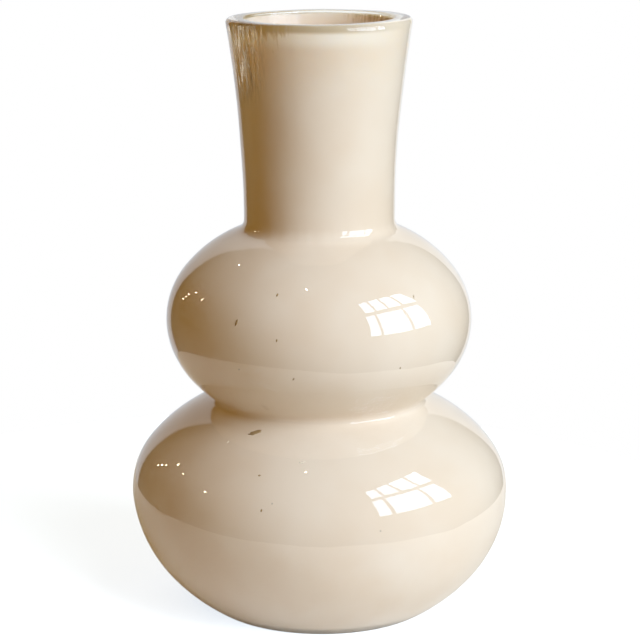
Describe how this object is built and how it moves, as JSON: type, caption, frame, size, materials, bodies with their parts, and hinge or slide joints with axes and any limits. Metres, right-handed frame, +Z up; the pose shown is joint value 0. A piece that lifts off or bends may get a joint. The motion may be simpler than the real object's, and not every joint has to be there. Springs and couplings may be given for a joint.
{
  "type": "double gourd vase",
  "caption": "Double gourd flower vase of cased glass: a squat lower bulb, a smaller upper bulb and a tall flared neck, with a clear casing and rounded clear lip over an opaque cream lining.",
  "frame": {"origin": "middle of the foot, on the surface that the vase stands on", "axes": "+Z up along the axis of the vase; X and Y are free, because the vase is turned about +Z"},
  "size_m": [0.16, 0.16, 0.25],
  "materials": {
    "clear_glass": "fire-polished gloss",
    "cream_opal_glass": "gloss"
  },
  "bodies": {
    "root": {"clear_casing": "clear_glass", "cream_lining": "cream_opal_glass"}
  },
  "joints": []
}
